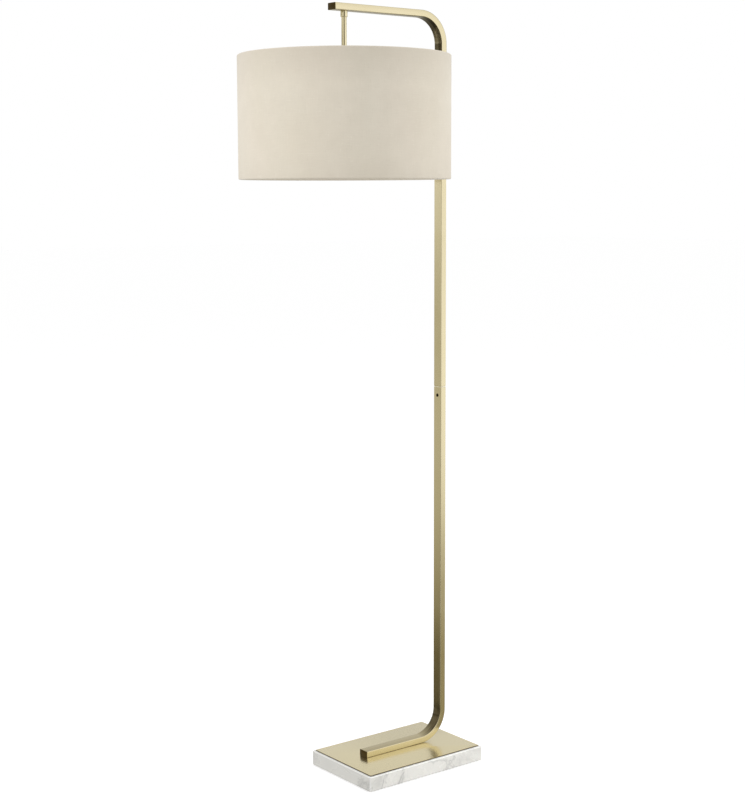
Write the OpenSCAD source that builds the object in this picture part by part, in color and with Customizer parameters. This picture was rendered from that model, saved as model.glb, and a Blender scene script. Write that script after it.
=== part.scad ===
// Arc floor lamp: a bent rectangular brass tube stands on a marble base and
// carries a fabric drum shade on a short threaded rod.
// Millimetres. The origin is the centre of the felt's underside, +Z up. The leg
// and the arm point to -X, and the lamp is the same on both sides of Y = 0.

/* [Base] */
// Length of the marble base, along X
base_l = 287; // [270:1:320]
// Width of the marble base, along Y
base_w = 192; // [150:1:240]
// Thickness of the marble slab
marble_t = 29; // [26:0.5:36]
// Thickness of the felt under the slab
felt_t = 1; // [1:0.5:3]
// Thickness of the brass top plate
plate_t = 2; // [1.5:0.5:4]
// Margin of marble left showing round the top plate
plate_margin = 4.5; // [2:0.5:10]

/* [Pole] */
// Overall height of the lamp
total_h = 1500; // [1400:5:1600]
// Thickness of the tube, measured in the plane of the bends
tube_t = 13; // [13:0.5:16]
// Width of the tube, along Y
tube_w = 22.5; // [21:0.5:30]
// Outer radius of both bends
bend_r = 62; // [56:1:75]
// X of the post's outer face
post_x = 117; // [110:1:125]
// Length of the leg from the post's outer face to its tip
leg_l = 204; // [196:1:215]
// Length of the arm from the post's outer face to its tip
arm_l = 271; // [265:1:285]
// Height of the joint between the two pole sections
joint_z = 763; // [650:1:900]
// Distance of the grub screw below the joint
screw_drop = 17.5; // [14:0.5:30]

/* [Shade] */
// Outside diameter of the drum shade
shade_d = 402; // [380:1:420]
// Height of the drum shade
shade_h = 230; // [200:5:260]
// Height of the shade's lower edge above the floor
shade_z = 1175; // [1150:5:1200]
// Distance from the post's outer face to the shade's axis
reach = 242; // [236:1:248]
// Wire diameter of the shade's frame
wire_d = 3.2; // [2.5:0.1:4]

/* [Drop rod] */
// Outside diameter of the M10 hollow rod
rod_d = 10; // [10:0.5:10.5]
// Outside diameter of the coupler under the arm
coupler_d = 13.3; // [13:0.1:16]
// Length of the coupler below the arm
coupler_l = 11.5; // [11:0.5:16]

/* [Bulb] */
// Diameter of the bulb's globe
globe_d = 60; // [56:1:64]

/* [Hidden] */

$fn = 96;
eps = 0.01;
fit_gap = 0.1;

// base
felt_inset = 3;
base_corner_r = 2;
base_edge_r = 1.2;
plate_corner_r = 1.5;
marble_z = felt_t;
plate_z = marble_z + marble_t;
leg_z = plate_z + plate_t;

// tube
tube_wall = 1.5;
tube_corner_r = 1.2;
cap_flange = 1;
leg_tip_x = post_x - leg_l;
arm_tip_x = post_x - arm_l;
post_cx = post_x - tube_t / 2;
bend_x = post_x - bend_r;
bend_low_z = leg_z + bend_r;
bend_high_z = total_h - bend_r;
bore_t = tube_t - 2 * tube_wall;
bore_w = tube_w - 2 * tube_wall;
lamp_x = post_x - reach;

// joint between the pole sections
seam_h = 1.6;
seam_inset = 0.3;
sleeve_l = 60;
sleeve_wall = 1.2;
pole_screw_r = 2.95;
pole_screw_l = 4.8;
pole_screw_z = joint_z - screw_drop;

// fixings under the base
m6_r = 3;
m6_hole_r = 3.4;
base_screw_x = [leg_tip_x + 27, leg_tip_x + 107];
counterbore_r = 8;
counterbore_h = 12;
base_washer_t = 1.5;
nut_bar_t = 5;

// inner lead: it keeps the same distance from the outside of both bends
lead_r = 2;
lead_off = 4.9;
lead_turn_r = 10;
lead_top_turn_r = 8;
lead_leg_z = leg_z + lead_off;
lead_arm_z = total_h - lead_off;
lead_post_x = post_x - lead_off;
lead_drop_x = bend_x - 5 - lead_turn_r;
lead_arc_r = bend_r - lead_off;

// pocket and groove under the slab
pocket_x0 = lead_drop_x - 16;
pocket_l = 70;
pocket_w = 34;
pocket_h = 16.5;
groove_w = 10;
groove_h = 11;
block_l = 22;
block_w = 26;
block_h = 12;
block_z = marble_z + 1.5;
block_x = lead_drop_x + lead_turn_r + 1;
lead_end_z = block_z + block_h / 2;
outlet_r = 3.6;
outlet_l = 12;
outlet_flange = 1.5;
outlet_z = marble_z + groove_h / 2;

// rod under the arm
rod_r = rod_d / 2;
rod_bore_r = 3.8;
arm_floor_z = total_h - tube_t + tube_wall;
arm_under_z = total_h - tube_t;
arm_washer_t = 0.6;
arm_nut_t = 2.3;
nipple_top_z = arm_floor_z + arm_washer_t + arm_nut_t + 0.2;
coupler_z = arm_under_z - coupler_l;
coupler_grip = 5.5;

// lampholder, hanging with its mouth down
shade_top_z = shade_z + shade_h;
neck_top_z = shade_top_z - 6;
neck_h = 10;
neck_r = 7.5;
dome_z = neck_top_z - neck_h;
skirt_top_z = dome_z - 18;
skirt_l = 49;
skirt_r = 19;
skirt_bore_r = 17.3;
skirt_bottom_z = skirt_top_z - skirt_l;
holder_flange_r = 23.5;
holder_flange_h = 3;
holder_wall = 1.8;
thread_pitch = 3;
thread_h = 0.5;
core_r = 17;
core_top_z = skirt_top_z - 3;
core_seat_z = core_top_z - 12;
shell_r = 13.5;
shell_wall = 0.8;
shell_l = 24.5;
lamp_pitch = 3.6;

// shade
shade_r = shade_d / 2;
cloth_t = 1;
roll_r = 2.4;
hem_in = 6.8;
hem_h = 8;
liner_t = 1.2;
ring_r = wire_d / 2;
ring_path_r = shade_r - hem_in + cloth_t + ring_r + 0.15;
top_ring_z = shade_top_z - cloth_t - ring_r - fit_gap;
bottom_ring_z = shade_z + cloth_t + ring_r + fit_gap;
body_gap = 0.3;
hub_t = 1.5;
hub_top_z = skirt_top_z - holder_flange_h - body_gap;
hub_in_r = 20.8;
hub_out_r = 30;
arm_count = 3;
ring_nut_h = 9;
ring_nut_top_z = hub_top_z - hub_t - body_gap;

// bulb
globe_r = globe_d / 2;
glass_t = 1.2;
tip_z = core_seat_z - 1.7;
tip_h = 1.3;
cap_top_z = tip_z - tip_h - 2.5;
cap_l = 24.5;
cap_r = 13.1;
cap_bottom_z = cap_top_z - cap_l;
body_bottom_r = 24;
body_h = 32;
body_bottom_z = cap_bottom_z - body_h;
globe_z = body_bottom_z - sqrt(globe_r * globe_r - body_bottom_r * body_bottom_r);

// Points of one rounded corner about [x, y], from angle a0 through 90 degrees
function corner(x, y, r, a0, n) = [
    for (i = [0:n]) [x + r * cos(a0 + 90 * i / n), y + r * sin(a0 + 90 * i / n)]
];

// Outline of a rounded rectangle, centred on the origin
function rounded_rect(l, w, r, n = 4) = concat(
    corner(l / 2 - r, w / 2 - r, r, 0, n),
    corner(r - l / 2, w / 2 - r, r, 90, n),
    corner(r - l / 2, r - w / 2, r, 180, n),
    corner(l / 2 - r, r - w / 2, r, 270, n)
);

// Points of an arc about [x, y] from angle a0 to a1
function arc(x, y, r, a0, a1, n) = [
    for (i = [0:n]) [x + r * cos(a0 + (a1 - a0) * i / n), y + r * sin(a0 + (a1 - a0) * i / n)]
];

// A ridged outline: n crests of the given pitch and height, going down from z
function ridges(r, z, pitch, height, n) = [
    for (i = [0:n - 1], p = [[0, 0], [height, 0.3], [height, 0.6], [0, 0.9]])
        [r + p[0], z - pitch * (i + p[1])]
];

module at_lamp() {
    translate([lamp_x, 0, 0]) children();
}

// A washer or sleeve about the Z axis
module tube(r_out, r_in, h) {
    difference() {
        cylinder(r = r_out, h = h);
        translate([0, 0, -1]) cylinder(r = r_in, h = h + 2);
    }
}

// A slab with rounded corners and eased top and bottom edges
module eased_slab(l, w, h, corner_r, edge_r) {
    intersection() {
        linear_extrude(h) polygon(rounded_rect(l, w, corner_r));
        translate([0, w, h / 2]) rotate([90, 0, 0])
            linear_extrude(2 * w) polygon(rounded_rect(l, h, edge_r, 3));
        translate([-l, 0, h / 2]) rotate([90, 0, 90])
            linear_extrude(2 * l) polygon(rounded_rect(w, h, edge_r, 3));
    }
}

// Section of the rectangular tube; X is the thickness and Y the width
module tube_section() {
    difference() {
        polygon(rounded_rect(tube_t, tube_w, tube_corner_r, 3));
        square([bore_t, bore_w], center = true);
    }
}

module upright(z, h) {
    translate([post_cx, 0, z]) linear_extrude(h) tube_section();
}

// A level run of tube from x0 to x1, resting on height z
module level_run(x0, x1, z) {
    translate([x0, 0, z + tube_t / 2]) rotate([0, 90, 0])
        linear_extrude(x1 - x0) tube_section();
}

// The quarter bend from the post up and round to the arm, about its centre
module quarter_bend() {
    rotate([90, 0, 0]) rotate_extrude(angle = 90)
        translate([bend_r - tube_t / 2, 0]) tube_section();
}

// A plastic plug with a thin flange that covers a tube's end, pointing to -X
module end_plug(x, z) {
    translate([x, 0, z + tube_t / 2]) rotate([0, 90, 0]) {
        linear_extrude(cap_flange) polygon(rounded_rect(tube_t, tube_w, tube_corner_r, 3));
        linear_extrude(9) square([bore_t - 2 * fit_gap, bore_w - 2 * fit_gap], center = true);
    }
}

// A straight slot with round ends, cut along X
module slot(x, l, w, z, h) {
    for (side = [-1, 1]) {
        translate([x + side * (l - w) / 2, 0, z]) cylinder(d = w, h = h);
    }
    translate([x - (l - w) / 2, -w / 2, z]) cube([l - w, w, h]);
}

module base_felt() {
    color([0.09, 0.09, 0.09])
        linear_extrude(felt_t)
            polygon(rounded_rect(base_l - 2 * felt_inset, base_w - 2 * felt_inset, 4));
}

module marble_slab() {
    color([0.9, 0.9, 0.89])
        difference() {
            translate([0, 0, marble_z])
                eased_slab(base_l, base_w, marble_t, base_corner_r, base_edge_r);
            for (x = base_screw_x) {
                translate([x, 0, 0]) cylinder(r = m6_hole_r, h = plate_z + 1);
                translate([x, 0, 0]) cylinder(r = counterbore_r, h = marble_z + counterbore_h);
            }
            translate([lead_drop_x + 2, 0, marble_z]) cylinder(d = 14, h = marble_t + 1);
            translate([pocket_x0, -pocket_w / 2, 0])
                cube([pocket_l, pocket_w, marble_z + pocket_h]);
            translate([pocket_x0 + pocket_l - 1, -groove_w / 2, 0])
                cube([base_l, groove_w, marble_z + groove_h]);
        }
}

module top_plate() {
    color([0.72, 0.62, 0.45])
        difference() {
            translate([0, 0, plate_z]) linear_extrude(plate_t)
                polygon(rounded_rect(base_l - 2 * plate_margin, base_w - 2 * plate_margin,
                                     plate_corner_r));
            for (x = base_screw_x) {
                translate([x, 0, plate_z - 1]) cylinder(r = m6_hole_r, h = plate_t + 2);
            }
            slot(lead_drop_x + 2.5, 12, 8, plate_z - 1, plate_t + 2);
        }
}

module base_screws() {
    head_top = marble_z + counterbore_h - base_washer_t;
    color([0.55, 0.55, 0.56])
        for (x = base_screw_x) translate([x, 0, 0])
            difference() {
                union() {
                    translate([0, 0, head_top - 6]) cylinder(r = 5, h = 6);
                    translate([0, 0, head_top - 1])
                        cylinder(r = m6_r, h = leg_z + tube_wall + nut_bar_t - head_top);
                }
                translate([0, 0, head_top - 7]) cylinder(r = 2.9, h = 4, $fn = 6);
            }
}

module base_washers() {
    color([0.6, 0.6, 0.61])
        for (x = base_screw_x) {
            translate([x, 0, marble_z + counterbore_h - base_washer_t])
                tube(7, m6_hole_r, base_washer_t);
        }
}

module nut_bar() {
    x0 = base_screw_x[0] - 15;
    color([0.55, 0.55, 0.56])
        difference() {
            translate([x0, -9, leg_z + tube_wall])
                cube([base_screw_x[1] - base_screw_x[0] + 26, 18, nut_bar_t]);
            for (x = base_screw_x) {
                translate([x, 0, leg_z]) cylinder(r = m6_r + 0.05, h = 12);
            }
        }
}

module terminal_block() {
    color([0.9, 0.89, 0.85])
        translate([block_x, 0, block_z])
            difference() {
                translate([0, -block_w / 2, 0]) cube([block_l, block_w, block_h]);
                for (y = [-8.5, 8.5]) {
                    translate([-1, y, block_h / 2]) rotate([0, 90, 0])
                        cylinder(r = 2, h = block_l + 2);
                }
                for (x = [5, block_l - 5], y = [-8.5, 8.5]) {
                    translate([x, y, -1]) cylinder(r = 2, h = 4);
                }
                translate([block_l / 2, 0, -1]) cylinder(r = 1.6, h = block_h + 2);
            }
}

module terminal_screws() {
    color([0.75, 0.65, 0.4])
        for (x = [5, block_l - 5], y = [-8.5, 8.5])
            translate([block_x + x, y, block_z + 0.8])
                difference() {
                    cylinder(r = 1.9, h = 2.1);
                    translate([-2, -0.3, -1]) cube([4, 0.6, 1.6]);
                }
}

module cord_clamp() {
    color([0.12, 0.12, 0.12])
        translate([block_x + block_l + 5, 0, 0])
            difference() {
                translate([0, -13, marble_z + 1]) cube([8, 26, 7]);
                translate([-1, 0, outlet_z + 1]) rotate([0, 90, 0]) cylinder(r = outlet_r, h = 10);
                for (y = [-9.5, 9.5]) {
                    translate([4, y, 0]) cylinder(r = 1.7, h = 20);
                }
            }
}

module clamp_screws() {
    color([0.6, 0.6, 0.61])
        for (y = [-9.5, 9.5])
            translate([block_x + block_l + 9, y, marble_z + 0.2])
                difference() {
                    union() {
                        cylinder(r = 2.8, h = 0.8);
                        cylinder(r = 1.5, h = pocket_h - 0.2);
                    }
                    translate([-3, -0.35, -1]) cube([6, 0.7, 1.5]);
                }
}

module cable_outlet() {
    color([0.08, 0.08, 0.08])
        difference() {
            union() {
                translate([base_l / 2 - outlet_l, -groove_w / 2 + fit_gap, marble_z + fit_gap])
                    cube([outlet_l + eps, groove_w - 2 * fit_gap, groove_h - 2 * fit_gap]);
                translate([base_l / 2, 0, outlet_z]) rotate([0, 90, 0])
                    cylinder(r = groove_w / 2, h = outlet_flange);
            }
            translate([base_l / 2 - outlet_l - 1, 0, outlet_z]) rotate([0, 90, 0])
                cylinder(r = outlet_r, h = outlet_l + outlet_flange + 2);
        }
}

module lower_pole() {
    color([0.72, 0.62, 0.45])
        difference() {
            union() {
                level_run(leg_tip_x + cap_flange, bend_x, leg_z);
                translate([bend_x, 0, bend_low_z]) mirror([0, 0, 1]) quarter_bend();
                upright(bend_low_z, joint_z - seam_h / 2 - bend_low_z);
            }
            for (x = base_screw_x) {
                translate([x, 0, leg_z - 1]) cylinder(r = m6_hole_r, h = tube_wall + 2);
            }
            slot(lead_drop_x + 2.5, 12, 8, leg_z - 1, tube_wall + 2);
            translate([post_x - tube_t - 1, 0, pole_screw_z]) rotate([0, 90, 0])
                cylinder(r = 3.3, h = tube_wall + 2);
        }
}

module leg_end_cap() {
    color([0.16, 0.14, 0.11]) end_plug(leg_tip_x, leg_z);
}

module pole_connector() {
    sleeve_t = bore_t - 2 * fit_gap;
    sleeve_w = bore_w - 2 * fit_gap;
    color([0.85, 0.76, 0.58])
        difference() {
            union() {
                translate([post_cx - sleeve_t / 2, -sleeve_w / 2, joint_z - sleeve_l])
                    cube([sleeve_t, sleeve_w, 2 * sleeve_l]);
                translate([post_cx, 0, joint_z - seam_h / 2]) linear_extrude(seam_h)
                    polygon(rounded_rect(tube_t - 2 * seam_inset, tube_w - 2 * seam_inset, 1, 3));
            }
            translate([post_cx - sleeve_t / 2 + sleeve_wall, -sleeve_w / 2 + sleeve_wall,
                       joint_z - sleeve_l - 1])
                cube([sleeve_t - 2 * sleeve_wall, sleeve_w - 2 * sleeve_wall, 2 * sleeve_l + 2]);
            translate([post_x - tube_t, 0, pole_screw_z]) rotate([0, 90, 0])
                cylinder(r = pole_screw_r + 0.05, h = tube_t / 2);
        }
}

module pole_screw() {
    color([0.2, 0.19, 0.18])
        translate([post_x - tube_t + 0.4, 0, pole_screw_z]) rotate([0, 90, 0])
            difference() {
                cylinder(r = pole_screw_r, h = pole_screw_l);
                translate([0, 0, -1]) cylinder(r = 1.73, h = 3.5, $fn = 6);
            }
}

module upper_pole() {
    color([0.72, 0.62, 0.45])
        difference() {
            union() {
                upright(joint_z + seam_h / 2, bend_high_z - joint_z - seam_h / 2);
                translate([bend_x, 0, bend_high_z]) quarter_bend();
                level_run(arm_tip_x + cap_flange, bend_x, total_h - tube_t);
            }
            translate([lamp_x, 0, arm_under_z - 1]) cylinder(r = rod_r + 0.2, h = tube_wall + 2);
        }
}

module arm_end_cap() {
    color([0.16, 0.14, 0.11]) end_plug(arm_tip_x, total_h - tube_t);
}

// A quarter turn of the lead in the XZ plane about [x, z], starting at angle a0
module lead_turn(x, z, r, a0) {
    translate([x, 0, z]) rotate([90, 0, 0]) rotate([0, 0, a0])
        rotate_extrude(angle = 90) translate([r, 0]) circle(r = lead_r, $fn = 48);
}

module lead_up(x, z0, z1) {
    translate([x, 0, z0]) cylinder(r = lead_r, h = z1 - z0, $fn = 48);
}

module lead_along(x0, x1, z) {
    translate([x0, 0, z]) rotate([0, 90, 0]) cylinder(r = lead_r, h = x1 - x0, $fn = 48);
}

module inner_lead() {
    color([0.85, 0.84, 0.8]) {
        lead_along(lead_drop_x + lead_turn_r, block_x, lead_end_z);
        lead_turn(lead_drop_x + lead_turn_r, lead_end_z + lead_turn_r, lead_turn_r, 180);
        lead_up(lead_drop_x, lead_end_z + lead_turn_r, lead_leg_z - lead_turn_r);
        lead_turn(lead_drop_x + lead_turn_r, lead_leg_z - lead_turn_r, lead_turn_r, 90);
        lead_along(lead_drop_x + lead_turn_r, bend_x, lead_leg_z);
        lead_turn(bend_x, bend_low_z, lead_arc_r, 270);
        lead_up(lead_post_x, bend_low_z, bend_high_z);
        lead_turn(bend_x, bend_high_z, lead_arc_r, 0);
        lead_along(lamp_x + lead_top_turn_r, bend_x, lead_arm_z);
        lead_turn(lamp_x + lead_top_turn_r, lead_arm_z - lead_top_turn_r, lead_top_turn_r, 90);
        lead_up(lamp_x, dome_z - 8, lead_arm_z - lead_top_turn_r);
    }
}

module arm_nipple() {
    color([0.7, 0.62, 0.46])
        at_lamp() translate([0, 0, coupler_z + coupler_grip + 0.5])
            tube(rod_r, rod_bore_r, nipple_top_z - coupler_z - coupler_grip - 0.5);
}

module arm_washer() {
    color([0.6, 0.6, 0.61])
        at_lamp() translate([0, 0, arm_floor_z]) tube(8.5, rod_r + 0.1, arm_washer_t);
}

module arm_nut() {
    color([0.7, 0.62, 0.46])
        at_lamp() translate([0, 0, arm_floor_z + arm_washer_t])
            difference() {
                cylinder(r = 8.1, h = arm_nut_t, $fn = 6);
                translate([0, 0, -1]) cylinder(r = rod_r + 0.05, h = arm_nut_t + 2);
            }
}

module rod_coupler() {
    color([0.72, 0.62, 0.45])
        at_lamp() translate([0, 0, coupler_z])
            rotate_extrude() polygon([
                [rod_r + 0.05, 0],
                [coupler_d / 2 - 0.5, 0],
                [coupler_d / 2, 0.5],
                [coupler_d / 2, coupler_l - 0.5],
                [coupler_d / 2 - 0.5, coupler_l],
                [rod_r + 0.05, coupler_l]
            ]);
}

module drop_rod() {
    color([0.72, 0.62, 0.45])
        at_lamp() translate([0, 0, dome_z + 0.5])
            tube(rod_r, rod_bore_r, coupler_z + coupler_grip - dome_z - 0.5);
}

module holder_cap() {
    bore = rod_r + 0.05;
    color([0.07, 0.07, 0.07])
        at_lamp() rotate_extrude() polygon(concat(
            [[bore, neck_top_z], [neck_r, neck_top_z], [neck_r, dome_z]],
            [for (i = [1:6]) [neck_r + (skirt_r - neck_r) * sin(15 * i),
                              dome_z - 13 * (1 - cos(15 * i))]],
            [[skirt_r, skirt_top_z], [skirt_r - holder_wall, skirt_top_z],
             [skirt_r - holder_wall, dome_z - 13]],
            [for (i = [5:-1:0]) [bore + 1 + (skirt_r - holder_wall - bore - 1) * sin(15 * i),
                                 dome_z - holder_wall - 11.2 * (1 - cos(15 * i))]],
            [[bore, dome_z - holder_wall]]
        ));
}

module holder_skirt() {
    ridge_top_z = skirt_top_z - holder_flange_h - 2;
    ridge_count = 8;
    color([0.07, 0.07, 0.07])
        at_lamp() rotate_extrude() polygon(concat(
            [[skirt_bore_r, skirt_top_z], [holder_flange_r, skirt_top_z],
             [holder_flange_r, skirt_top_z - holder_flange_h],
             [skirt_r, skirt_top_z - holder_flange_h]],
            ridges(skirt_r, ridge_top_z, thread_pitch, thread_h, ridge_count),
            [[skirt_r, skirt_bottom_z + 1], [skirt_r - 1, skirt_bottom_z],
             [16, skirt_bottom_z], [16, skirt_bottom_z + 2],
             [skirt_bore_r, skirt_bottom_z + 2]]
        ));
}

module holder_core() {
    color([0.93, 0.92, 0.89])
        at_lamp() difference() {
            translate([0, 0, skirt_bottom_z + 3])
                cylinder(r = core_r, h = core_top_z - skirt_bottom_z - 3);
            translate([0, 0, skirt_bottom_z])
                cylinder(r = shell_r + shell_wall + 0.7, h = core_seat_z - skirt_bottom_z);
            for (side = [-1, 1]) {
                translate([side * 10, 0, core_top_z - 8]) cylinder(r = 1.6, h = 10);
            }
        }
}

module screw_shell() {
    n = 6;
    top_z = core_seat_z - 0.5;
    inner = [for (i = [n - 1:-1:0], p = [[0, 0.9], [0.5, 0.6], [0.5, 0.3], [0, 0]])
                [shell_r + p[0], top_z - lamp_pitch * (i + p[1])]];
    color([0.8, 0.68, 0.4])
        at_lamp() rotate_extrude() polygon(concat(
            ridges(shell_r + shell_wall - 0.1, top_z, lamp_pitch, 0.5, n),
            [[shell_r + shell_wall - 0.1, top_z - shell_l], [shell_r, top_z - shell_l]],
            inner
        ));
}

module centre_contact() {
    color([0.8, 0.68, 0.4])
        at_lamp() translate([-6, -2.5, tip_z + 0.3])
            cube([12, 5, core_seat_z - tip_z - 0.3]);
}

module contact_screws() {
    color([0.75, 0.65, 0.4])
        at_lamp() for (side = [-1, 1])
            translate([side * 10, 0, core_top_z - 7])
                difference() {
                    union() {
                        cylinder(r = 1.5, h = 8);
                        translate([0, 0, 7]) cylinder(r = 2.8, h = 2.2);
                    }
                    translate([-3, -0.35, 8.3]) cube([6, 0.7, 2]);
                }
}

// Half section of the cloth: the outer wall with a rolled hem at both rims
module cloth_section() {
    hem_r = shade_r - hem_in;
    inner_r = shade_r - cloth_t;
    polygon(concat(
        arc(shade_r - roll_r, shade_z + roll_r, roll_r, -90, 0, 4),
        arc(shade_r - roll_r, shade_top_z - roll_r, roll_r, 0, 90, 4),
        arc(hem_r + roll_r, shade_top_z - roll_r, roll_r, 90, 180, 4),
        [[hem_r, shade_top_z - hem_h], [hem_r + cloth_t, shade_top_z - hem_h]],
        arc(hem_r + roll_r, shade_top_z - roll_r, roll_r - cloth_t, 180, 90, 4),
        arc(inner_r + cloth_t - roll_r, shade_top_z - roll_r, roll_r - cloth_t, 90, 0, 4),
        arc(inner_r + cloth_t - roll_r, shade_z + roll_r, roll_r - cloth_t, 0, -90, 4),
        arc(hem_r + roll_r, shade_z + roll_r, roll_r - cloth_t, 270, 180, 4),
        [[hem_r + cloth_t, shade_z + hem_h], [hem_r, shade_z + hem_h]],
        arc(hem_r + roll_r, shade_z + roll_r, roll_r, 180, 270, 4)
    ));
}

// The upper hem is notched where each arm of the spider passes through it
module shade_fabric() {
    color([0.9, 0.88, 0.84])
        at_lamp() difference() {
            rotate_extrude($fn = 180) cloth_section();
            for (i = [0:arm_count - 1]) rotate([0, 0, 60 + 360 * i / arm_count])
                translate([shade_r - hem_in - 2, -3, shade_top_z - hem_h - 1])
                    cube([cloth_t + 3, 6, hem_h + 1 - cloth_t]);
        }
}

module shade_liner() {
    r = shade_r - cloth_t - fit_gap;
    color([0.95, 0.94, 0.92])
        at_lamp() translate([0, 0, shade_z + roll_r + 0.2])
            difference() {
                cylinder(r = r, h = shade_h - 2 * roll_r - 0.4, $fn = 180);
                translate([0, 0, -1]) cylinder(r = r - liner_t, h = shade_h, $fn = 180);
            }
}

module wire_ring(z) {
    at_lamp() translate([0, 0, z])
        rotate_extrude($fn = 180) translate([ring_path_r, 0]) circle(r = ring_r, $fn = 32);
}

module shade_top_ring() {
    color([0.9, 0.9, 0.88]) wire_ring(top_ring_z);
}

module shade_bottom_ring() {
    color([0.9, 0.9, 0.88]) wire_ring(bottom_ring_z);
}

// The hub under the holder's flange, with arms welded to it that rise to the top ring
// and stay above the hub's underside, clear of the shade ring
module shade_spider() {
    arm_start_z = hub_top_z - hub_t + ring_r + 0.05;
    arm_start_r = hub_out_r - 1;
    arm_end_r = ring_path_r;
    rise = top_ring_z - arm_start_z;
    run = arm_end_r - arm_start_r;
    slope = atan(rise / run);
    color([0.9, 0.9, 0.88])
        at_lamp() {
            translate([0, 0, hub_top_z - hub_t]) tube(hub_out_r, hub_in_r, hub_t);
            for (i = [0:arm_count - 1]) rotate([0, 0, 60 + 360 * i / arm_count])
                translate([arm_start_r, 0, arm_start_z]) rotate([0, 90 - slope, 0])
                    cylinder(r = ring_r, h = run / cos(slope), $fn = 32);
        }
}

module shade_ring() {
    grip_count = 24;
    color([0.07, 0.07, 0.07])
        at_lamp() translate([0, 0, ring_nut_top_z - ring_nut_h])
            difference() {
                rotate_extrude() polygon([
                    [skirt_r + thread_h + 0.35, 0], [24, 0], [25, 1], [25, 6], [28, 6.5],
                    [28, ring_nut_h], [skirt_r + thread_h + 0.35, ring_nut_h]
                ]);
                for (i = [0:grip_count - 1]) rotate([0, 0, 360 * i / grip_count])
                    translate([28.6, 0, 5]) cylinder(r = 1.2, h = 6, $fn = 24);
            }
}

module bulb_globe() {
    a0 = asin(body_bottom_r / globe_r);
    inner_r = globe_r - glass_t;
    color([0.97, 0.97, 0.95])
        at_lamp() translate([0, 0, globe_z])
            rotate_extrude() polygon(concat(
                [for (i = [0:20]) let (a = a0 + (180 - a0) * i / 20)
                    [globe_r * sin(a), globe_r * cos(a)]],
                [for (i = [20:-1:0]) let (a = a0 + (180 - a0) * i / 20)
                    [inner_r * sin(a), inner_r * cos(a)]]
            ));
}

module bulb_body() {
    wall = 1.5;
    top_r = 13.8;
    flare = [for (i = [0:6]) let (t = i / 6)
        [top_r + (body_bottom_r - top_r) * t * t * (1.6 - 0.6 * t), cap_bottom_z - body_h * t]];
    color([0.95, 0.95, 0.93])
        at_lamp() rotate_extrude() polygon(concat(
            flare,
            [for (i = [6:-1:0]) [flare[i][0] - wall, flare[i][1]]]
        ));
}

module bulb_cap() {
    n = 6;
    root_r = cap_r - 0.8;
    wall = 0.5;
    crests = ridges(root_r, cap_top_z - 2, lamp_pitch, 0.8, n);
    color([0.8, 0.79, 0.77])
        at_lamp() rotate_extrude() polygon(concat(
            [[root_r - 1.2, cap_top_z]],
            crests,
            [[root_r, cap_bottom_z], [root_r - wall, cap_bottom_z],
             [root_r - wall, cap_top_z - 2], [root_r - 1.7, cap_top_z]]
        ));
}

module bulb_insulator() {
    color([0.06, 0.06, 0.08])
        at_lamp() rotate_extrude() polygon([
            [0, cap_top_z], [cap_r - 2.5, cap_top_z], [5.5, cap_top_z + 2.5],
            [0, cap_top_z + 2.5]
        ]);
}

module bulb_contact() {
    color([0.78, 0.77, 0.74])
        at_lamp() rotate_extrude() polygon([
            [0, cap_top_z + 2.5], [4.5, cap_top_z + 2.5], [4, cap_top_z + 3.5],
            [0, tip_z]
        ]);
}

module led_board() {
    color([0.9, 0.9, 0.86])
        at_lamp() {
            translate([0, 0, body_bottom_z + 2]) cylinder(r = 20, h = 1.6);
            for (i = [0:7]) rotate([0, 0, 45 * i])
                translate([12.5, -1.5, body_bottom_z + 1.3]) cube([3, 3, 0.7]);
        }
}

base_felt();
marble_slab();
top_plate();
base_screws();
base_washers();
nut_bar();
terminal_block();
terminal_screws();
cord_clamp();
clamp_screws();
cable_outlet();
lower_pole();
leg_end_cap();
pole_connector();
pole_screw();
upper_pole();
arm_end_cap();
inner_lead();
arm_nipple();
arm_washer();
arm_nut();
rod_coupler();
drop_rod();
holder_cap();
holder_skirt();
holder_core();
screw_shell();
centre_contact();
contact_screws();
shade_fabric();
shade_liner();
shade_top_ring();
shade_bottom_ring();
shade_spider();
shade_ring();
bulb_globe();
bulb_body();
bulb_cap();
bulb_insulator();
bulb_contact();
led_board();
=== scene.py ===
import math

import bmesh
import bpy
from mathutils import Matrix, Vector


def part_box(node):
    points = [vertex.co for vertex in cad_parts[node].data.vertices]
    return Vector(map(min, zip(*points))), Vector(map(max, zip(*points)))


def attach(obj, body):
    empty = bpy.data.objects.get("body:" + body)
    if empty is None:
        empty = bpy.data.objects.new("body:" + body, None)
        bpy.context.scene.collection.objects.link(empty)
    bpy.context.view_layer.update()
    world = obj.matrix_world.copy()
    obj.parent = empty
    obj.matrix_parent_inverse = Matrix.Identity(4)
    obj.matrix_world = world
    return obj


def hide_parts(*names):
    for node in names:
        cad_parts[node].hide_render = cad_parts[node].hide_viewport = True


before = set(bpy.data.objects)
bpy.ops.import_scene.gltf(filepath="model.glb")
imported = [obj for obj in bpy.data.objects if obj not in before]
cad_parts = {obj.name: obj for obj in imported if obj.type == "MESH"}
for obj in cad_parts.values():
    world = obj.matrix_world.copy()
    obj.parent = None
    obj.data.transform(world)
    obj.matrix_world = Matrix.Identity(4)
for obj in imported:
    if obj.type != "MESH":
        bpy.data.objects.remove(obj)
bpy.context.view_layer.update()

# The looks of an arc floor lamp: marble base, bent brass tube, linen drum shade.
# Everything is in metres, in the frame of the CAD model.

# ---------------------------------------------------------------- sizes

# The bent tube: the outer radius of its bends, its wall, the radii of its corners outside and
# inside, and the hole for the grub screw.
BEND_R = 0.062
TUBE_WALL = 0.0015
TUBE_CORNER_R = 0.0013
TUBE_BORE_CORNER_R = 0.0004
SCREW_HOLE_R = 0.0037

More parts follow.
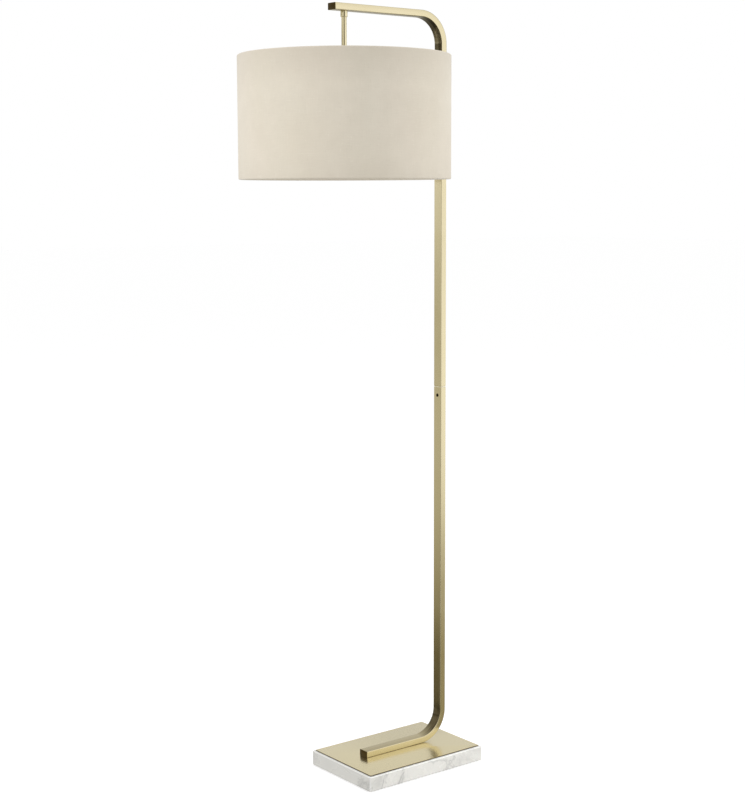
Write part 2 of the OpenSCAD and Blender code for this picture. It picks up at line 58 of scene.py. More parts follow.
# The CAD nodes' boxes, as (lowest corner, highest corner).
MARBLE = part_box("marble_slab")
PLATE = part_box("top_plate")
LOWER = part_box("lower_pole")
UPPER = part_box("upper_pole")
LEG_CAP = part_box("leg_end_cap")
ARM_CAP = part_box("arm_end_cap")
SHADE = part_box("shade_fabric")
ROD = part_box("drop_rod")
HOLDER_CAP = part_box("holder_cap")
HOLDER_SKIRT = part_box("holder_skirt")
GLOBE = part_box("bulb_globe")
BULB_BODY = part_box("bulb_body")
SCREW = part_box("pole_screw")

# The rod's axis, and the tube's section: its thickness across the bends and its width along Y.
LAMP = Vector(((ROD[0].x + ROD[1].x) / 2, 0.0, 0.0))
TUBE_T = LEG_CAP[1].z - LEG_CAP[0].z
TUBE_W = LEG_CAP[1].y - LEG_CAP[0].y


# ---------------------------------------------------------------- camera

CAMERA_PLACE = Vector((-1.9084, -2.4032, 1.1431))
CAMERA_YAW = math.radians(37.552)
CAMERA_PITCH = math.radians(7.403)
CAMERA_ROLL = math.radians(-0.19)
CAMERA_LENS = 70.50


def make_camera():
    """The photograph's viewing angle; yaw is from +Y towards +X, and pitch is downwards."""
    ahead = Vector((
        math.sin(CAMERA_YAW) * math.cos(CAMERA_PITCH),
        math.cos(CAMERA_YAW) * math.cos(CAMERA_PITCH),
        -math.sin(CAMERA_PITCH),
    ))
    level = Vector((math.cos(CAMERA_YAW), -math.sin(CAMERA_YAW), 0.0))
    upright = level.cross(ahead)
    right = level * math.cos(CAMERA_ROLL) + upright * math.sin(CAMERA_ROLL)
    up = right.cross(ahead)
    turn = Matrix((right, up, -ahead)).transposed()
    data = bpy.data.cameras.new("camera")
    data.lens = CAMERA_LENS
    data.sensor_width = 36
    data.clip_end = 200
    camera = bpy.data.objects.new("camera", data)
    camera.matrix_world = Matrix.Translation(CAMERA_PLACE) @ turn.to_4x4()
    bpy.context.scene.collection.objects.link(camera)
    bpy.context.scene.camera = camera


make_camera()


# ---------------------------------------------------------------- node helpers

class Nodes:
    """Short calls for the usual shader nodes of one node tree."""

    def __init__(self, tree):
        self.tree = tree

    def node(self, kind, inputs=None, **settings):
        """A new node; inputs are values or sockets, and settings are its own properties."""
        made = self.tree.nodes.new(kind)
        for name, value in settings.items():
            setattr(made, name, value)
        for name, value in (inputs or {}).items():
            self.feed(made.inputs[name], value)
        return made

    def feed(self, socket, value):
        """Links a socket to the node's input, or sets its value."""
        if isinstance(value, bpy.types.NodeSocket):
            self.tree.links.new(value, socket)
        elif socket.type == "RGBA" and len(value) == 3:
            socket.default_value = (*value, 1.0)
        else:
            socket.default_value = value

    def place(self, stretch=(1, 1, 1), turn=(0, 0, 0), source="Object", shift=(0, 0, 0)):
        """Coordinates in metres, stretched, then turned, then shifted."""
        where = self.node("ShaderNodeTexCoord").outputs[source]
        made = self.node("ShaderNodeMapping", {
            "Vector": where, "Rotation": turn, "Scale": stretch, "Location": shift,
        })
        return made.outputs["Vector"]

    def noise(self, where, scale, detail=3.0, roughness=0.5, distortion=0.0):
        made = self.node("ShaderNodeTexNoise", {
            "Vector": where, "Scale": scale, "Detail": detail,
            "Roughness": roughness, "Distortion": distortion,
        })
        return made.outputs["Fac"]

    def attribute(self, name):
        """A number that the mesh holds for each vertex, or 0 where it holds none."""
        return self.node("ShaderNodeAttribute", attribute_name=name).outputs["Fac"]

    def maths(self, operation, a, b=0.0, clamp=False):
        made = self.node("ShaderNodeMath", {0: a, 1: b}, operation=operation, use_clamp=clamp)
        return made.outputs[0]

    def dot(self, where, direction):
        made = self.node("ShaderNodeVectorMath", {0: where, 1: direction}, operation="DOT_PRODUCT")
        return made.outputs["Value"]

    def span(self, value, low, high, new_low=0.0, new_high=1.0):
        """Maps low..high to new_low..new_high, and stays within them."""
        made = self.node("ShaderNodeMapRange", {
            "Value": value, "From Min": low, "From Max": high, "To Min": new_low, "To Max": new_high,
        })
        return made.outputs[0]

    def ramp(self, value, *stops):
        """A colour ramp with stops of (position, colour)."""
        made = self.node("ShaderNodeValToRGB", {"Fac": value})
        points = made.color_ramp.elements
        while len(points) < len(stops):
            points.new(0.5)
        for point, (position, colour) in zip(points, stops):
            point.position = position
            point.color = (*colour, 1.0)
        return made.outputs["Color"]

    def mix(self, share, a, b):
        """A colour mix; its colour sockets are found by number, because their names repeat."""
        made = self.node("ShaderNodeMix", data_type="RGBA", blend_type="MIX")
        self.feed(made.inputs["Factor"], share)
        self.feed(made.inputs[6], a)
        self.feed(made.inputs[7], b)
        return made.outputs[2]

    def bump(self, height, distance, strength):
        made = self.node("ShaderNodeBump", {"Height": height, "Distance": distance, "Strength": strength})
        return made.outputs["Normal"]


class Shader(Nodes):
    """A new material with its Principled shader."""

    def __init__(self, name, **settings):
        self.material = bpy.data.materials.new(name)
        self.material.use_nodes = True
        super().__init__(self.material.node_tree)
        self.bsdf = self.tree.nodes["Principled BSDF"]
        for socket, value in settings.items():
            self.bsdf.inputs[socket.replace("_", " ")].default_value = value

    def set(self, **links):
        """Feeds the shader's sockets, with _ for a space in their names; returns the material."""
        for socket, value in links.items():
            self.feed(self.bsdf.inputs[socket.replace("_", " ")], value)
        return self.material


# ---------------------------------------------------------------- materials

# Width of the painted shade beside the leg.
PAINTED_SHADE_WIDE = 0.020


def plate_painted_shade(s):
    """Painted shade on the plate: 0.15 against the leg, fading over 20 mm, and up to 0.12 towards
    the corner at the back right, where its reflection is darker."""
    parts = s.node("ShaderNodeSeparateXYZ", {"Vector": s.place()})
    x, y = parts.outputs["X"], parts.outputs["Y"]
    near = s.span(s.maths("ABSOLUTE", y), TUBE_W / 2, TUBE_W / 2 + PAINTED_SHADE_WIDE, 1.0, 0.0)
    starts = s.span(x, LEG_CAP[0].x - 0.001, LEG_CAP[0].x + 0.005, 0.0, 0.15)
    stops = s.span(x, LOWER[1].x - BEND_R, LOWER[1].x - BEND_R / 2, 1.0, 0.0)
    # Painted contact shade along the leg, where the leg darkens the plate's reflection.
    contact_shade = s.maths("MULTIPLY", s.maths("POWER", near, 2.0), s.maths("MULTIPLY", starts, stops))
    back = s.maths("MULTIPLY", s.span(y, -0.01, 0.04), s.span(x, -0.10, 0.02, 0.0, 0.12))
    return s.maths("MAXIMUM", back, contact_shade)


# Brown tint of the painted shade and painted dark reflections on the brass.
PAINTED_DARK_TINT = (0.10, 0.085, 0.060)


def brushed_metal(name, colour, dark, roughness, stretch, source="Object", extra_painted_shade=None):
    """Satin metal: fine brush lines, soft smudges and brighter worn edges, darkened brown by painted
    shade and painted dark reflections where the mesh's mark or the extra function asks for them."""
    s = Shader(name, Metallic=1.0)
    lines = s.noise(s.place(stretch, source=source), 1.0, 4.0, 0.6)
    smudge = s.noise(s.place(), 9.0, 4.0, 0.55, 0.6)
    speck = s.noise(s.place(), 900.0, 2.0, 0.5)
    tone = s.maths("ADD", s.maths("MULTIPLY", lines, 0.45), s.maths("MULTIPLY", smudge, 0.55))
    base = s.ramp(tone, (0.30, dark), (0.72, colour))
    worn = s.maths("MULTIPLY", s.attribute("wear"), s.span(speck, 0.35, 0.6, 0.15, 0.8))
    light = tuple(min(1.0, c * 1.12 + 0.04) for c in colour)
    base = s.mix(worn, base, light)
    # Painted shade and painted dark reflection from the mesh's mark, streaked by the brush lines.
    painted_dark = s.maths("MULTIPLY", s.attribute("patina"), s.span(lines, 0.35, 0.65, 0.8, 1.1), clamp=True)
    if extra_painted_shade:
        painted_dark = s.maths("MAXIMUM", painted_dark, extra_painted_shade(s))
    base = s.mix(painted_dark, base, tuple(c * k for c, k in zip(dark, PAINTED_DARK_TINT)))
    rough = s.maths("ADD", s.span(lines, 0.3, 0.7, roughness - 0.02, roughness + 0.03),
                    s.span(smudge, 0.35, 0.75, -0.01, 0.03))
    return s.set(Base_Color=base, Roughness=rough, Normal=s.bump(lines, 0.000010, 0.5))


BLOCK_CUT = (1.31, 0.02, 2.09)
ARRIS = 0.0028


def marble():
    """White marble: grey veins on a slant through the block, and a painted highlight on its eased
    edges. BLOCK_CUT is the place in the veined rock that the block is cut from."""
    s = Shader("marble", IOR=1.55, Coat_Weight=0.2, Coat_Roughness=0.10, Subsurface_Weight=0.06)
    s.bsdf.inputs["Subsurface Radius"].default_value = (0.004, 0.004, 0.0035)
    slanted = s.place((1.0, 0.55, 1.0), (0.9, 0.5, 1.6), shift=BLOCK_CUT)
    drift = s.noise(s.place(turn=(0.5, 0.35, 0.9), shift=BLOCK_CUT), 5.0, 5.0, 0.6, 0.4)
    fine = s.noise(slanted, 26.0, 6.0, 0.65, 0.3)

    def vein(scale, detail, width, distortion):
        field = s.noise(slanted, scale, detail, 0.6, distortion)
        away = s.maths("ABSOLUTE", s.maths("SUBTRACT", field, 0.5))
        return s.span(away, 0.0, width, 1.0, 0.0)

    broad = s.maths("POWER", vein(5.5, 4.0, 0.12, 0.7), 2.0)
    thin = s.maths("POWER", vein(8.5, 6.0, 0.030, 0.9), 1.5)
    gate = s.span(drift, 0.42, 0.58)
    broad = s.maths("MULTIPLY", broad, s.span(gate, 0.0, 1.0, 0.12, 0.36))
    thin = s.maths("MULTIPLY", thin, s.span(gate, 0.0, 1.0, 0.20, 0.50))
    mask = s.maths("ADD", broad, thin, clamp=True)
    ground = s.ramp(drift, (0.30, (0.73, 0.72, 0.68)), (0.75, (0.77, 0.76, 0.72)))
    ground = s.mix(s.span(fine, 0.45, 0.75, 0.0, 0.35), ground, (0.68, 0.675, 0.635))
    colour = s.mix(mask, ground, (0.33, 0.33, 0.32))
    parts = s.node("ShaderNodeSeparateXYZ", {"Vector": s.place()})
    # Painted highlight where light catches the vertical corners and the top ledge.
    beside = [s.span(s.maths("ABSOLUTE", parts.outputs[axis]), edge - ARRIS, edge - 0.0004)
              for axis, edge in (("X", MARBLE[1].x), ("Y", MARBLE[1].y))]
    near_top = s.span(parts.outputs["Z"], MARBLE[1].z - 0.0025, MARBLE[1].z - 0.0005, 0.0, 0.8)
    painted_edge_light = s.maths("MAXIMUM", s.maths("MULTIPLY", *beside), near_top)
    colour = s.mix(painted_edge_light, colour, (0.90, 0.895, 0.87))
    return s.set(Base_Color=colour, Roughness=s.span(fine, 0.3, 0.7, 0.22, 0.32),
                 Normal=s.bump(fine, 0.00004, 0.25))


THREAD = 0.00085
DEEPER = (0.660, 0.600, 0.490)
PALER = (0.900, 0.855, 0.745)


def linen():
    """Plain weave of fine uneven threads, faintly mottled, with painted shade making it a little darker
    towards both rims; UV is in metres, round the drum and up."""
    s = Shader("linen", Roughness=0.86, Sheen_Weight=0.25, Sheen_Roughness=0.5,
               Specular_IOR_Level=0.25)
    where = s.node("ShaderNodeTexCoord").outputs["UV"]
    parts = s.node("ShaderNodeSeparateXYZ", {"Vector": where})
    across, up = parts.outputs["X"], parts.outputs["Y"]
    weft = s.maths("SINE", s.maths("MULTIPLY", up, math.pi / THREAD))
    warp = s.maths("SINE", s.maths("MULTIPLY", across, math.pi / THREAD))
    weave = s.maths("MULTIPLY", weft, warp)
    along_weft = s.noise(s.place((14.0, 1.0 / THREAD, 1.0), source="UV"), 1.0, 3.0, 0.6)
    along_warp = s.noise(s.place((1.0 / THREAD, 11.0, 1.0), source="UV"), 1.0, 3.0, 0.6)
    slub = s.maths("ADD", s.span(along_weft, 0.55, 0.8), s.span(along_warp, 0.58, 0.82), clamp=True)
    cloud = s.noise(s.place((6.0, 5.0, 1.0), source="UV"), 1.0, 3.0, 0.5)
    warm = s.noise(s.place((9.0, 3.0, 1.0), source="UV"), 1.0, 2.0, 0.5)
    base = s.ramp(cloud, (0.30, (0.775, 0.700, 0.575)), (0.70, (0.825, 0.765, 0.645)))
    base = s.mix(s.span(warm, 0.40, 0.70, 0.0, 0.5), base, (0.815, 0.730, 0.625))
    mottle = s.noise(s.place((30.0, 26.0, 1.0), source="UV"), 1.0, 3.0, 0.6)
    base = s.mix(s.span(mottle, 0.35, 0.65, 0.0, 0.19), base, DEEPER)
    threads = s.span(s.maths("ADD", along_weft, along_warp), 0.75, 1.25, 0.0, 0.30)
    base = s.mix(threads, base, (0.710, 0.655, 0.535))
    base = s.mix(s.maths("MULTIPLY", slub, 0.30), base, PALER)
    thick_weft = s.noise(s.place((55.0, 430.0, 1.0), source="UV"), 1.0, 4.0, 0.7)
    thick_warp = s.noise(s.place((380.0, 45.0, 1.0), source="UV"), 1.0, 4.0, 0.7)
    both = s.maths("ADD", thick_weft, thick_warp)
    base = s.mix(s.span(both, 1.10, 1.35, 0.0, 0.45), base, (0.900, 0.850, 0.730))
    base = s.mix(s.span(both, 0.92, 0.70, 0.0, 0.30), base, DEEPER)
    tall = SHADE[1].z - SHADE[0].z
    # Painted shade, darker near the top rim and a little near the bottom.
    painted_rim_shade = s.maths("ADD", s.span(up, 0.0, 0.045, 0.065, 0.0), s.span(up, tall - 0.065, tall, 0.0, 0.15))
    base = s.mix(painted_rim_shade, base, (0.30, 0.25, 0.20))
    height = s.maths("ADD", s.maths("MULTIPLY", weave, 0.5), s.maths("MULTIPLY", slub, 1.2))
    return s.set(Base_Color=base, Normal=s.bump(height, 0.00009, 0.55))


def lining():
    """Satin white styrene sheet behind the cloth, with the faintest vertical drawing lines."""
    s = Shader("shade_lining", IOR=1.5, Roughness=0.42, Subsurface_Weight=0.1)
    s.bsdf.inputs["Subsurface Radius"].default_value = (0.003, 0.003, 0.003)
    drawn = s.noise(s.place((160.0, 160.0, 5.0)), 1.0, 2.0, 0.5)
    cloud = s.noise(s.place(), 12.0, 3.0, 0.5)
    base = s.ramp(cloud, (0.3, (0.84, 0.83, 0.80)), (0.7, (0.88, 0.87, 0.85)))
    return s.set(Base_Color=base, Normal=s.bump(drawn, 0.00003, 0.3))


def moulded(name, colour, roughness, grain, spread, **settings):
    """Moulded plastic with a fine spark-eroded grain; spread is how much its tone changes."""
    s = Shader(name, **settings)
    fine = s.noise(s.place(), 2200.0, 2.0, 0.5)
    cloud = s.noise(s.place(), 45.0, 3.0, 0.5)
    dark = tuple(c * (1 - spread) for c in colour)
    light = tuple(min(1.0, c * (1 + spread) + 0.004) for c in colour)
    return s.set(Base_Color=s.ramp(cloud, (0.3, dark), (0.7, light)),
                 Roughness=s.span(cloud, 0.3, 0.7, roughness - 0.05, roughness + 0.05),
                 Normal=s.bump(fine, grain, 0.4))


def felt():
    """Dense black felt: tangled short fibres."""
    s = Shader("felt", Roughness=0.95, Sheen_Weight=0.15, Sheen_Roughness=0.6, Specular_IOR_Level=0.1)
    fibres = s.noise(s.place(), 1500.0, 6.0, 0.7, 2.0)
    tufts = s.noise(s.place(), 160.0, 4.0, 0.6)
    base = s.ramp(fibres, (0.35, (0.012, 0.012, 0.013)), (0.7, (0.05, 0.05, 0.052)))
    return s.set(Base_Color=base, Normal=s.bump(s.maths("ADD", fibres, tufts), 0.0003, 0.7))


def porcelain():
    """Glazed white ceramic."""
    s = Shader("porcelain", Coat_Weight=0.6, Coat_Roughness=0.05, Roughness=0.3)
    cloud = s.noise(s.place(), 60.0, 3.0, 0.5)
    return s.set(Base_Color=s.ramp(cloud, (0.3, (0.80, 0.79, 0.75)), (0.7, (0.88, 0.87, 0.84))))


def make_materials():
    """All materials by name. A metal has two colours, its roughness and the run of its lines; a
    plastic has its colour, roughness, grain and change of tone, and its gloss."""
    along_tube = (900.0, 14.0, 1.0)
    turned = (40.0, 40.0, 1500.0)
    drawn = (9.0, 1500.0, 9.0)
    golden = ((0.82, 0.735, 0.49), (0.74, 0.65, 0.40))
    metals = {
        "plate_brass": ((0.80, 0.725, 0.50), (0.745, 0.668, 0.445), 0.21, drawn, "Object", plate_painted_shade),
        "tube_brass": (*golden, 0.16, along_tube, "UV"),
        "rod_brass": (*golden, 0.14, turned),
        "satin_brass": ((0.99, 0.95, 0.78), (0.97, 0.92, 0.72), 0.22, turned),
        "contact_brass": ((0.83, 0.69, 0.40), (0.72, 0.57, 0.30), 0.28, turned),
        "steel": ((0.60, 0.60, 0.61), (0.48, 0.48, 0.49), 0.32, turned),
        "black_steel": ((0.045, 0.034, 0.012), (0.022, 0.016, 0.006), 0.38, turned),
        "nickel": ((0.80, 0.78, 0.74), (0.70, 0.68, 0.64), 0.16, turned),
    }
    plastics = {
        "white_wire": ((0.80, 0.80, 0.78), 0.35, 0.00003, 0.05, {"Coat_Weight": 0.3}),
        "white_nylon": ((0.80, 0.79, 0.75), 0.45, 0.00002, 0.06, {}),
        "black_plastic": ((0.022, 0.022, 0.022), 0.25, 0.000008, 0.3, {"Coat_Weight": 0.2}),
        "cap_plastic": ((0.068, 0.043, 0.006), 0.30, 0.000008, 0.2, {"Metallic": 0.85}),
        "soft_black": ((0.035, 0.035, 0.036), 0.55, 0.00004, 0.25, {}),
        "lead_sheath": ((0.76, 0.75, 0.71), 0.5, 0.00002, 0.06, {}),
        "opal_diffuser": ((0.90, 0.90, 0.88), 0.28, 0.000006, 0.03, {"Coat_Weight": 0.2}),
        "bulb_plastic": ((0.86, 0.86, 0.84), 0.33, 0.00001, 0.04, {}),
        "black_glass": ((0.02, 0.02, 0.028), 0.12, 0.000004, 0.2, {"Coat_Weight": 0.5}),
        "led_board": ((0.82, 0.82, 0.79), 0.4, 0.00001, 0.05, {}),
    }
    return {
        **{name: brushed_metal(name, *values) for name, values in metals.items()},
        **{name: moulded(name, *values, **finish) for name, (*values, finish) in plastics.items()},
        "marble": marble(),
        "linen": linen(),
        "lining": lining(),
        "felt": felt(),
        "porcelain": porcelain(),
    }


MATERIALS = make_materials()


def dress(obj, material):
    """Gives the whole object one material."""
    obj.data.materials.clear()
    obj.data.materials.append(MATERIALS[material])


# ---------------------------------------------------------------- mesh helpers

SHARP = math.radians(32)
CORNER_STEPS = 6
EASE_STEPS = 4
EDGE_EASE = 0.0003


def finish_mesh(mesh):
    """Smooth shading, with hard edges where faces meet at more than SHARP."""
    mesh.validate()
    mesh.shade_smooth()
    mesh.set_sharp_from_angle(angle=SHARP)


def make_piece(name, verts, faces, material, body, slot, stands_for, **marks):
    """A new mesh piece that rides on a body and stands for the CAD nodes it is named with.
    marks are values for every vertex that the materials read, such as wear."""
    mesh = bpy.data.meshes.new(name)
    mesh.from_pydata(verts, [], faces)
    obj = bpy.data.objects.new(name, mesh)
    bpy.context.scene.collection.objects.link(obj)
    for mark, values in marks.items():
        mesh.attributes.new(mark, "FLOAT", "POINT").data.foreach_set("value", values)
    finish_mesh(mesh)
    dress(obj, material)
    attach(obj, body)
    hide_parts(*stands_for)
    return obj


def arc(cx, cy, r, a0, a1, n):
    """Points of an arc in degrees, both ends included."""
    angles = [math.radians(a0 + (a1 - a0) * i / n) for i in range(n + 1)]
    return [(cx + r * math.cos(a), cy + r * math.sin(a)) for a in angles]


def rounded_outline(w, h, r):
    """Outline of a rounded rectangle about the origin, and 1.0 for its corner points."""
    points = []
    worn = []
    for sx, sy, a0 in ((1, 1, 0), (-1, 1, 90), (-1, -1, 180), (1, -1, 270)):
        points += arc(sx * (w / 2 - r), sy * (h / 2 - r), r, a0, a0 + 90, CORNER_STEPS)
        worn += [0.0] + [1.0] * (CORNER_STEPS - 1) + [0.0]
    return points, worn


def ring_faces(rings, around, close_last=False):
    """Quads between successive rings of points; close_last joins the last ring to the first."""
    faces = []
    last = rings if close_last else rings - 1
    for i in range(last):
        a = i * around
        b = ((i + 1) % rings) * around
        for j in range(around):
            k = (j + 1) % around
            faces.append((a + j, a + k, b + k, b + j))
    return faces


# ---------------------------------------------------------------- bent tube and flat blocks

ARC_STEPS = 36
MOUTH_EASE = 0.0006
END_EASE = 0.0008
END_RING = 0.004

# Heights on the post with the strength of the painted dark reflection there, upwards.
LOWER_PAINTED_DARK = ((0.11, 0.40), (0.13, 0.30), (0.22, 0.25), (0.29, 0.05), (0.40, 0.0))
UPPER_PAINTED_DARK = ((1.2, 0.0), (1.36, 0.8))
# How dark the painted reflection is along the leg and along the arm.
LEG_PAINTED_DARK = 0.40
ARM_PAINTED_DARK = 0.30

# The painted dark reflection's share at the back of the inner face, where it is 1 along the front,
# # and the two lines across that face, from its middle, between which it changes.
LOWER_BACK_DARK = 0.85
UPPER_BACK_DARK = 0.65
# The painted dark reflection's share on the outer front corner.
RIM_PAINTED_DARK = 0.6
DARK_BACK = 0.0005
DARK_FRONT = -0.0025


def bend(corner_x, corner_z, low):
    """Stations round a quarter bend: centre, outward direction and turn from the post, 0 to 1."""
    mid_r = BEND_R - TUBE_T / 2
    stations = []
    for i in range(ARC_STEPS + 1):
        part = i / ARC_STEPS
        a = math.radians(90 * part)
        out = (math.cos(a), -math.sin(a) if low else math.sin(a))
        stations.append(((corner_x + mid_r * out[0], corner_z + mid_r * out[1]), out, part))
    return stations


def past(part, start):
    """How far a place in a bend is past the turn start: 0 up to there, and 1 at the bend's end."""
    return max(0.0, part - start) / (1 - start)


def lower_path():
    """Stations (centre, outward direction, painted shade inside) from the end of the leg to the joint."""
    outer_x = LOWER[1].x
    floor_z = LOWER[0].z
    top = LOWER[1].z
    leg_x = LOWER[0].x
    stations = []
    for t in (0.0, END_EASE, END_RING, 0.05):
        stations.append(((leg_x + t, floor_z + TUBE_T / 2), (0, -1), LEG_PAINTED_DARK))
    # Painted dark reflection on the bend's inner face, strongest a little past its start.
    for centre, out, part in reversed(bend(outer_x - BEND_R, floor_z + BEND_R, low=True)):
        stations.append((centre, out, min(1.15, 0.80 + 4.0 * part) * (1 - 0.7 * past(part, 0.45))))
    for z, painted_dark in (*LOWER_PAINTED_DARK, (top - END_RING, 0.0), (top - END_EASE, 0.0), (top, 0.0)):
        stations.append(((outer_x - TUBE_T / 2, z), (1, 0), painted_dark))
    return stations


def upper_path():
    """Stations from the bottom of the upper half to the end of the arm."""
    outer_x = UPPER[1].x
    low = UPPER[0].z
    top_z = UPPER[1].z
    arm_x = UPPER[0].x
    stations = []
    for z, painted_dark in ((low, 0.0), (low + END_EASE, 0.0), (low + END_RING, 0.0), *UPPER_PAINTED_DARK):
        stations.append(((outer_x - TUBE_T / 2, z), (1, 0), painted_dark))
    # Painted dark reflection on the upper bend's inner face, fading towards the arm.
    for centre, out, part in bend(outer_x - BEND_R, top_z - BEND_R, low=False):
        stations.append((centre, out, 1.2 - 0.65 * past(part, 0.4)))
    for x in (-0.02, arm_x + END_RING, arm_x + END_EASE, arm_x):
        stations.append(((x, top_z - TUBE_T / 2), (0, 1), ARM_PAINTED_DARK))
    return stations


def tube_outline(thick, wide, corner_r, back_dark=0.0):
    """The tube's section with the wear of its corners and the painted dark reflection across its inner
    face: 1 along the front, the given share along the back, and a set share on the outer front corner."""
    points, worn = rounded_outline(thick, wide, corner_r)
    half = len(points) // 2
    points = points[:half] + [(-thick / 2, DARK_BACK), (-thick / 2, DARK_FRONT)] + points[half:]
    worn = worn[:half] + [0.0, 0.0] + worn[half:]
    painted_dark = []
    for t, w in points:
        inner = t < -thick / 2 + corner_r * 0.5
        rim = w < 0 and t > 0 and math.hypot(t - thick / 2, w + wide / 2) < corner_r
        if inner:
            painted_dark.append(1.0 if w <= DARK_FRONT else back_dark)
        else:
            painted_dark.append(RIM_PAINTED_DARK if rim else 0.0)
    return points, worn, painted_dark


def sweep_tube(name, node, stations, back_dark):
    """A hollow rectangular tube along the stations, its mouths slightly eased; UV is in metres,
    across and along."""
    outer, worn, dark_marks = tube_outline(TUBE_T, TUBE_W, TUBE_CORNER_R, back_dark)
    inner, _, _ = tube_outline(TUBE_T - 2 * TUBE_WALL, TUBE_W - 2 * TUBE_WALL, TUBE_BORE_CORNER_R)
    around = len(outer)
    clean = [0.0] * around
    last = len(stations) - 1
    run = [0.0]
    for (here, _, _), (there, _, _) in zip(stations, stations[1:]):
        run.append(run[-1] + math.dist(here, there))
    verts = []
    wear = []
    patina = []
    uv = []

    # Each ring's painted shading is its outline's share times its station's strength.
    def add_ring(i, outline, shrink, marks, dark_shares):
        (cx, cz), (ox, oz), painted_dark = stations[i]
        for (t, w), mark, share in zip(outline, marks, dark_shares, strict=True):
            t *= 1 - 2 * shrink / TUBE_T
            w *= 1 - 2 * shrink / TUBE_W
            verts.append((cx + ox * t, w, cz + oz * t))
            wear.append(mark)
            patina.append(min(1.0, share * painted_dark))
            uv.append((t + w, run[i]))

    for i in range(last + 1):
        at_end = i in (0, last)
        add_ring(i, outer, MOUTH_EASE if at_end else 0.0, [1.0] * around if at_end else worn, dark_marks)
    for i in range(last, -1, -1):
        add_ring(i, inner, 0.0, clean, clean)
    faces = ring_faces(2 * len(stations), around, close_last=True)
    piece = make_piece(name, verts, faces, "tube_brass", "stand", "antique_brass", [node],
                       wear=wear, patina=patina)
    layer = piece.data.uv_layers.new(name="length")
    for loop in piece.data.loops:
        layer.data[loop.index].uv = uv[loop.vertex_index]
    return piece


def cut_hole(obj, centre, radius, depth):
    """A round hole along X, cut with an exact boolean."""
    bm = bmesh.new()
    bmesh.ops.create_cone(bm, cap_ends=True, segments=64, radius1=radius, radius2=radius, depth=depth,
                          matrix=Matrix.Translation(centre) @ Matrix.Rotation(math.pi / 2, 4, "Y"))
    cutter_mesh = bpy.data.meshes.new("cutter")
    bm.to_mesh(cutter_mesh)
    bm.free()
    cutter = bpy.data.objects.new("cutter", cutter_mesh)
    bpy.context.scene.collection.objects.link(cutter)
    modifier = obj.modifiers.new("hole", "BOOLEAN")
    modifier.operation = "DIFFERENCE"
    modifier.solver = "EXACT"
    modifier.object = cutter
    bpy.context.view_layer.update()
    shown = obj.evaluated_get(bpy.context.evaluated_depsgraph_get())
    result = bpy.data.meshes.new_from_object(shown)
    obj.modifiers.clear()
    obj.data = result
    bpy.data.objects.remove(cutter)
    finish_mesh(result)


def make_poles():
    """Both bent tubes, and the grub screw's hole in the inner wall of the lower one."""
    lower = sweep_tube("lower_pole_tube", "lower_pole", lower_path(), LOWER_BACK_DARK)
    screw_z = (SCREW[0].z + SCREW[1].z) / 2
    cut_hole(lower, Vector((LOWER[1].x - TUBE_T, 0, screw_z)), SCREW_HOLE_R, 4 * TUBE_WALL)
    sweep_tube("upper_pole_tube", "upper_pole", upper_path(), UPPER_BACK_DARK)


def eased_block(name, low, high, corner_r, material, slot, stands_for, axis="Z", patina=0.0):
    """A flat block with rounded corners and rolled edges on both faces across axis, and the given
    strength of painted shade on its sides."""
    dims = Vector(high) - Vector(low)
    centre = (Vector(high) + Vector(low)) / 2
    order = {"Z": (0, 1, 2), "X": (1, 2, 0)}[axis]
    w, h, t = (dims[i] for i in order)
    verts = []
    wear = []
    sides = []
    levels = [(-t / 2 + EDGE_EASE * (1 - math.sin(a)), EDGE_EASE * (1 - math.cos(a)))
              for a in (math.radians(90 * (1 - i / EASE_STEPS)) for i in range(EASE_STEPS + 1))]
    levels += [(-z, inset) for z, inset in reversed(levels)]
    outline, _ = rounded_outline(w, h, corner_r)
    around = len(outline)
    for z, inset in levels:
        for x, y in rounded_outline(w - 2 * inset, h - 2 * inset, max(corner_r - inset, 0.0001))[0]:
            p = [0.0, 0.0, 0.0]
            p[order[0]], p[order[1]], p[order[2]] = x, y, z
            verts.append(tuple(centre + Vector(p)))
            wear.append(1.0 if inset > 0 else 0.0)
            sides.append(patina if inset < EDGE_EASE / 2 else 0.0)
    faces = ring_faces(len(levels), around)
    faces.append(tuple(reversed(range(around))))
    faces.append(tuple(range(len(verts) - around, len(verts))))
    return make_piece(name, verts, faces, material, "stand", slot, stands_for, wear=wear, patina=sides)


PLATE_CORNER_R = 0.0015
FELT_CORNER_R = 0.004
CAP_T = 0.001


def make_base():
    """The brass plate and the felt pad; the marble between them keeps its CAD shape."""
    # The plate's sides carry full painted shade: a dark shadow line along its edge.
    eased_block("base_top_plate", PLATE[0], PLATE[1], PLATE_CORNER_R, "plate_brass", "antique_brass",
                ["top_plate"], patina=1.0)
    low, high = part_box("base_felt")
    pad = eased_block("base_felt_pad", low, high, FELT_CORNER_R, "felt", "felt", ["base_felt"])


def make_end_caps():
    """The plates of both end caps, as large as the tube's section."""
    for name, (low, _) in (("leg_end_cap", LEG_CAP), ("arm_end_cap", ARM_CAP)):
        high = Vector((low.x + CAP_T, low.y + TUBE_W, low.z + TUBE_T))
        eased_block(name + "_plate", low, high, TUBE_CORNER_R, "cap_plastic", "cap_plastic", [name],
                    axis="X")


# ---------------------------------------------------------------- round pieces

